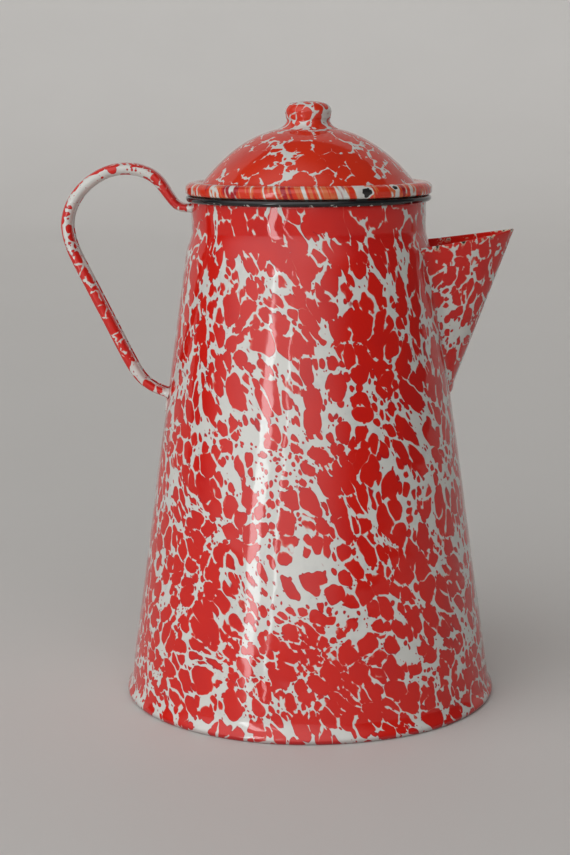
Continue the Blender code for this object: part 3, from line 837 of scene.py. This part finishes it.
def splash(finish, place, cover, sizes=DROP_SIZES, vein=VEIN):
    """Drops of four sizes that run together or leave thin veins.

    Returns the depth in metres inside the red, and the depth inside the drops with no veins between.
    """
    depths, discs = [], []
    for seed, (size, (least, by_cover, by_own)) in enumerate(zip(sizes, DROP_SPANS)):
        away, own = finish.drop(place, size, 0.37 * seed)
        radius = finish.line(cover, by_cover * size, least * size)
        radius = finish.line(finish.math('SUBTRACT', own, 0.5), by_own * size, radius)
        disc = finish.math('SUBTRACT', radius, away)
        depth = disc
        if seed < PARTED_SIZES:
            parted = finish.line(finish.noise(0.009, place, 1.0), 9 * vein, -3.7 * vein)
            parted = finish.math('MINIMUM', parted, 1.3 * vein)
            seam = finish.math('SUBTRACT', finish.seam(place, size, 0.37 * seed), parted)
            depth = finish.math('SMOOTH_MIN', disc, seam, ROUND_CORNER)
        depths.append(depth)
        discs.append(disc)
    together = depths[0]
    drops = discs[0]
    for depth, disc in zip(depths[1:], discs[1:]):
        together = finish.math('SMOOTH_MAX', together, depth, RUN_TOGETHER)
        drops = finish.math('MAXIMUM', drops, disc)
    uneven = finish.line(finish.noise(0.0026, place, 1.0), 0.0003, -0.00015)
    return finish.add(together, uneven), drops


def glaze(finish, depths, red=RED, thin=CRIMSON):
    """Colour of the enamel: white, or red that is dark along a drop's edge and pale where two drops met."""
    depth, drops = depths
    is_red = finish.step(depth, -SOFT_EDGE, SOFT_EDGE)
    body = finish.mix(finish.step(drops, -0.00005, 0.00045), thin, red)
    shade = finish.step(finish.noise(0.020), 0.40, 0.80)
    body = finish.mix(finish.times(shade, 0.25), body, CRIMSON)
    met = finish.math('SUBTRACT', finish.step(drops, 0.0002, 0.0006), finish.step(depth, 0.00005, 0.00028))
    body = finish.mix(finish.times(finish.math('MAXIMUM', met, 0.0), 0.6), body, PALE_RED)
    white = finish.mix(finish.step(finish.noise(0.006), 0.45, 0.8), WHITE, GREY_WHITE)
    return finish.mix(is_red, white, body), is_red


def specks(finish):
    """A few small dark points of the ground coat in plain enamel."""
    away, own = finish.drop(finish.place, 0.0045, 2.0)
    speck = finish.rest(finish.step(away, 0.00012, 0.0003))
    return finish.times(speck, finish.step(own, 0.70, 0.75))


def lined(finish, colour):
    """Turn the inner face of a sheet to plain off-white enamel with a few dark specks."""
    inside = finish.mix(specks(finish), LINING_WHITE, SPECK)
    return finish.mix(finish.step(finish.mark("lining"), 0.3, 0.7), colour, inside)


def chipped(finish, colour, spots):
    """Places where the glass came off: bare dark steel inside a thin white ring of ground coat."""
    for middle, size in spots:
        place = ragged(finish, finish.place, 0.0022, 0.0028)
        away = finish.vector('DISTANCE', place, middle)
        ring = finish.rest(finish.step(away, size * 1.15, size * 1.25))
        bare = finish.rest(finish.step(away, size * 0.75, size * 0.85))
        colour = finish.mix(ring, colour, WHITE)
        colour = finish.mix(bare, colour, BARE_STEEL)
    return colour


def glass(finish, colour, is_red):
    """Finish with the gloss of fired glass: gently wavy, a little thicker on red, dusty in places."""
    waves = finish.bump(finish.noise(0.010, detail=1.0), 0.00010)
    drops = finish.bump(is_red, 0.000010, waves)
    dust = finish.step(finish.noise(0.014, detail=3.0), 0.45, 0.75)
    finish.set(Base_Color=colour, Normal=waves, Specular_IOR_Level=0.0, Roughness=0.5,
               Coat_Weight=1.0, Coat_IOR=1.5, Coat_Normal=drops,
               Coat_Roughness=finish.line(dust, 0.09, 0.050))
    return finish.material


def body_enamel():
    """Long drops that ran down a cone, in larger red areas near the shoulder and the foot, and painted
    shade that darkens the rolled foot just over the table.
    """
    finish = Finish("splashed body enamel")
    place = ragged(finish, run_down(finish, 0.88, 0.71, 0.26), 0.0034, 0.0006, 0.020)
    z = finish.split(finish.place)[2]
    cover = finish.line(finish.noise(0.034), 0.80, 0.24)
    cover = finish.add(cover, finish.times(finish.step(z, 0.2080, 0.2240), 0.34))
    cover = finish.add(cover, patches(finish, BODY_PATCHES))
    colour, is_red = glaze(finish, splash(finish, place, cover))
    # Painted shade: the rolled foot just over the table is darkened towards dark purplish crimson, standing
    # in for the shade and dark reflection of the table there.
    lip = finish.rest(finish.step(z, 0.0008, 0.0032))
    colour = finish.mix(finish.times(lip, 0.45), colour, PAINTED_FOOT_SHADE)
    return glass(finish, lined(finish, colour), is_red)


def spout_enamel():
    """Drops that lean along the cheeks; red inside; the hem is chipped in places."""
    finish = Finish("splashed spout enamel")
    place = ragged(finish, run_down(finish, 0.90, 0.84, -0.15), 0.0028, 0.0006, 0.008)
    z = finish.split(finish.place)[2]
    cover = finish.line(finish.noise(0.022), 0.9, 0.24)
    cover = finish.add(cover, finish.times(finish.step(z, 0.2000, 0.2200), 0.25))
    cover = finish.add(cover, patches(finish, SPOUT_PATCHES))
    cover = finish.add(cover, finish.mark("lining"))
    depths = splash(finish, place, cover, (0.0074, 0.0044, 0.0025, 0.0018))
    colour, is_red = glaze(finish, depths)
    hem = finish.mark("hem")
    worn = finish.noise(0.0035, detail=3.0)
    rust_edge = finish.times(hem, finish.step(worn, 0.57, 0.61))
    colour = finish.mix(rust_edge, colour, RUST_EDGE)
    colour = finish.mix(finish.times(hem, finish.step(worn, 0.64, 0.67)), colour, BARE_STEEL)
    return glass(finish, colour, is_red)


def handle_enamel():
    """Mostly red on the outer face, mostly white on the rolled edges."""
    finish = Finish("splashed handle enamel")
    place = ragged(finish, finish.place, 0.0034, 0.0010)
    cover = finish.line(finish.noise(0.011), 1.5, -0.25)
    outer = finish.step(finish.mark("outer"), 0.35, 0.75)
    cover = finish.add(cover, finish.times(outer, 0.7))
    cover = finish.add(cover, patches(finish, HANDLE_PATCHES))
    depths = splash(finish, place, cover, (0.0070, 0.0042, 0.0024, 0.0016))
    colour, is_red = glaze(finish, depths)
    return glass(finish, colour, is_red)


def lid_enamel():
    """The dome's red with branching veins, and the rim's stripes where the glaze ran over its edge."""
    finish = Finish("splashed lid enamel")
    x, y, z = finish.split(finish.place)
    flat = finish.combine(x, y, 0.0)
    radius = finish.vector('LENGTH', flat)
    place = ragged(finish, finish.place, 0.0050, 0.0010)
    cover = finish.line(finish.noise(0.022), 0.90, 0.54)
    near_knob = finish.rest(finish.step(radius, 0.013, 0.019))
    cover = finish.math('SUBTRACT', cover, finish.times(near_knob, 0.30))
    depths = splash(finish, place, cover, (0.0100, 0.0056, 0.0026, 0.0018))
    colour, is_red = glaze(finish, depths, ORANGE_RED, THIN_ORANGE)

    outwards = finish.scale(finish.vector('NORMALIZE', flat), 0.058)
    swept = finish.times(finish.math('SUBTRACT', z, 0.2510), 0.35)
    sweep = finish.vector('ADD', outwards, finish.combine(swept, 0.0, 0.0))
    wide = finish.noise(0.0052, sweep, 1.0)
    fine = finish.noise(0.0020, sweep, 1.0)
    stripe = finish.line(fine, 0.45, finish.times(wide, 0.55))
    rim = finish.mix(finish.step(stripe, 0.475, 0.505), ORANGE_RED, STRIPE_ORANGE)
    rim = finish.mix(finish.step(stripe, 0.530, 0.560), rim, WHITE)
    dark = finish.step(finish.noise(0.0045, finish.scale(sweep, 1.3), 1.0), 0.60, 0.66)
    rim = finish.mix(dark, rim, CRIMSON)
    colour = finish.mix(finish.step(radius, 0.0518, 0.0534), colour, rim)
    colour = chipped(finish, colour, CHIPS)
    return glass(finish, lined(finish, colour), is_red)


def knob_enamel():
    """Small drops, red round the head and white on part of the neck."""
    finish = Finish("splashed knob enamel")
    place = ragged(finish, finish.place, 0.0030, 0.0008)
    cover = finish.line(finish.noise(0.010), 0.8, 0.05)
    cover = finish.add(cover, patches(finish, KNOB_PATCHES))
    depths = splash(finish, place, cover, (0.0070, 0.0042, 0.0022, 0.0015), KNOB_VEIN)
    colour, is_red = glaze(finish, depths, ORANGE_RED)
    return glass(finish, colour, is_red)


def black_enamel():
    """The black band on the rolled mouth, worn to white in a few places along its lower edge, which also
    carries a painted dark red reflection of the collar below.
    """
    finish = Finish("black rim enamel")
    z = finish.split(finish.place)[2]
    low = finish.rest(finish.step(z, BEAD_LOW.z + 0.0006, BEAD_LOW.z + 0.0014))
    worn = finish.times(low, finish.step(finish.noise(0.0032, detail=2.0), 0.61, 0.66))
    # Painted reflection: the bead's lowest edge is tinted dark red, standing in for the red collar
    # reflected in the black glass.
    edge = finish.rest(finish.step(z, BEAD_LOW.z + 0.0001, BEAD_LOW.z + 0.0005))
    colour = finish.mix(finish.times(edge, 0.5), BLACK, BEAD_RED_REFLECTION)
    colour = finish.mix(worn, colour, WORN_WHITE)
    return glass(finish, colour, worn)


def inside_enamel():
    """Plain off-white with dark specks and a coffee stain, under the lid."""
    finish = Finish("off-white inside enamel")
    speck = specks(finish)
    stain = finish.step(finish.noise(0.011, detail=3.0), 0.5, 0.8)
    colour = finish.mix(stain, LINING_WHITE, COFFEE_FILM)
    colour = finish.mix(speck, colour, SPECK)
    return glass(finish, colour, speck)


# ---- bare metal
def spun_metal(name, colour, dull, stain_share):
    """Metal spun on a lathe: fine rings, soft scratches, and a coffee stain in soft patches."""
    finish = Finish(name)
    x, y, z = finish.split(finish.place)
    radius = finish.vector('LENGTH', finish.combine(x, y, 0.0))
    lathe = finish.combine(radius, 0.0, z)
    rings = finish.noise(0.00045, lathe, 2.0)
    broad = finish.noise(0.0030, lathe, 1.0)
    scratches = finish.noise(0.0012, finish.combine(x, finish.times(y, 0.1), z), 3.0)
    cloud = finish.step(finish.noise(0.018, detail=4.0), 0.42, 0.72)
    stain = finish.times(finish.step(finish.noise(0.013, detail=4.0), 0.55, 0.78), stain_share)
    tone = finish.mix(cloud, colour, dull)
    tone = finish.mix(stain, tone, COFFEE_STAIN)
    relief = finish.bump(rings, 0.00002, finish.bump(broad, 0.00008))
    relief = finish.bump(scratches, 0.00001, relief)
    gloss = finish.line(cloud, 0.16, finish.line(scratches, 0.12, 0.22))
    finish.set(Base_Color=tone, Metallic=1.0, Roughness=gloss, Normal=relief, Anisotropic=0.4)
    return finish.material


def make_pieces():
    """Build every piece; each builder has the name of the CAD node that its piece stands for."""
    body = body_enamel()
    aluminium = spun_metal("spun aluminium", (0.80, 0.81, 0.82), (0.60, 0.60, 0.60), 0.35)
    steel = spun_metal("bright steel", (0.62, 0.62, 0.64), (0.45, 0.44, 0.43), 0.10)
    for rides, slot, finish, builders in (
            ("pot", "body_enamel", body, (pot_body, bottom_pan)),
            ("pot", "black_enamel", black_enamel(), (mouth_bead,)),
            ("pot", "spout_enamel", spout_enamel(), (spout,)),
            ("pot", "handle_enamel", handle_enamel(), (handle,)),
            ("lid", "lid_enamel", lid_enamel(), (lid_shell,)),
            ("lid", "inside_enamel", inside_enamel(), (lid_skirt,)),
            ("lid", "knob_enamel", knob_enamel(), (lid_knob,)),
            ("lid", "aluminium", steel, (knob_stud,)),
            ("pump", "aluminium", aluminium, (pump_base, pump_tube, basket_stop)),
            ("basket", "aluminium", aluminium, (basket_cup, basket_sleeve)),
            ("spreader", "aluminium", aluminium, (spreader_plate,))):
        for build in builders:
            piece = build()
            piece.data.materials.clear()
            piece.data.materials.append(finish)
            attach(piece, rides)
            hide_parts(build.__name__)


# ---- stage, light and camera
LIGHT_FROM = Vector((-0.44, -0.73, 0.52))  # towards the brightest part of the room
LIGHT_SPREAD = 0.35  # cosine of the angle at which the room has become dim
DIM, BRIGHT = 0.07, 1.55
ROOM_COLOUR = (0.98, 0.985, 1.0, 1.0)
COOL = (0.96, 0.98, 1.0)
LIT_SPOT = Vector((0, 0, 0.12))  # what the window faces
EYE = (-0.0120, -0.9062, 0.2928)
LENS = 78.035  # mm, on a sensor 36 mm wide
LOOK_DOWN = 10.03  # degrees
ROLL = 0.3


def floor_paint():
    """Matt paint with a faint cloudiness."""
    finish = Finish("pale floor")
    cloud = finish.noise(0.35, detail=3.0)
    finish.set(Base_Color=finish.mix(cloud, (0.62, 0.60, 0.57), (0.66, 0.64, 0.61)),
               Roughness=finish.line(cloud, 0.2, 0.5),
               Normal=finish.bump(finish.noise(0.004, detail=3.0), 0.00005))
    return finish.material


def stage():
    """A floor that bends up into a back wall, far enough away for a camera that goes round the open pot."""
    back, front, side, high, bend = 5.6, -7.7, 10.5, 9.1, 2.45
    line = [Vector((front, 0.0)), Vector((back - bend, 0.0))]
    line += [Vector((back - bend + bend * math.sin(a), bend - bend * math.cos(a)))
             for a in [math.pi / 2 * i / 24 for i in range(1, 25)]]
    line += [Vector((back, high))]
    rows = [[Vector((x, y, z)) for x in (-side, side)] for y, z in line]
    sweep = skin("studio_sweep", rows)
    sweep.data.materials.append(floor_paint())


def softbox(name, low, high, width, brightness):
    """A soft light panel whose long middle line runs from its low end to its high end."""
    low, high = Vector(low), Vector(high)
    middle = (low + high) / 2
    back = (middle - LIT_SPOT).normalized()
    along = (high - low) - (high - low).dot(back) * back
    height = along.length
    up = along.normalized()
    data = bpy.data.lights.new(name, 'AREA')
    data.shape = 'RECTANGLE'
    data.size = width
    data.size_y = height
    data.energy = brightness * width * height * math.pi
    data.color = COOL
    lamp = bpy.data.objects.new(name, data)
    lamp.rotation_mode = 'QUATERNION'
    lamp.rotation_quaternion = Matrix((up.cross(back), up, back)).transposed().to_quaternion()
    lamp.location = middle
    lamp.visible_camera = False
    bpy.context.scene.collection.objects.link(lamp)


def room():
    """Light from the whole room: brightest high on the front left, dim behind, and without edges."""
    world = bpy.data.worlds.new("soft room")
    bpy.context.scene.world = world
    world.use_nodes = True
    nodes, links = world.node_tree.nodes, world.node_tree.links
    aim = nodes.new("ShaderNodeVectorMath")
    aim.operation = 'DOT_PRODUCT'
    aim.inputs[1].default_value = LIGHT_FROM.normalized()
    links.new(nodes.new("ShaderNodeTexCoord").outputs["Generated"], aim.inputs[0])
    fade = nodes.new("ShaderNodeMapRange")
    fade.interpolation_type = 'SMOOTHSTEP'
    for name, number in (("From Min", LIGHT_SPREAD), ("From Max", 1.0),
                         ("To Min", DIM), ("To Max", BRIGHT)):
        fade.inputs[name].default_value = number
    links.new(aim.outputs["Value"], fade.inputs["Value"])
    links.new(fade.outputs["Result"], nodes["Background"].inputs["Strength"])
    nodes["Background"].inputs["Color"].default_value = ROOM_COLOUR


def lights():
    """A tall window to the left of the camera, with a narrow pane beside it, in a soft room."""
    room()
    softbox("window", (-0.500, -0.595, 0.004), (-0.366, -0.658, 0.310), 0.095, 6.8)
    softbox("window_pane", (-0.365, -0.700, 0.004), (-0.190, -0.740, 0.310), 0.014, 6.0)
    bpy.context.scene.view_settings.view_transform = 'Standard'


def camera():
    """The photograph's viewing angle: from just above the lid, looking down at the whole pot."""
    data = bpy.data.cameras.new("camera")
    data.sensor_width = 36.0
    data.lens = LENS
    eye = bpy.data.objects.new("camera", data)
    eye.location = EYE
    tilt = Matrix.Rotation(math.radians(90.0 - LOOK_DOWN), 3, 'X')
    roll = Matrix.Rotation(math.radians(-ROLL), 3, 'Z')
    eye.rotation_euler = (tilt @ roll).to_euler()
    bpy.context.scene.collection.objects.link(eye)
    bpy.context.scene.camera = eye


camera()
lights()
stage()
make_pieces()
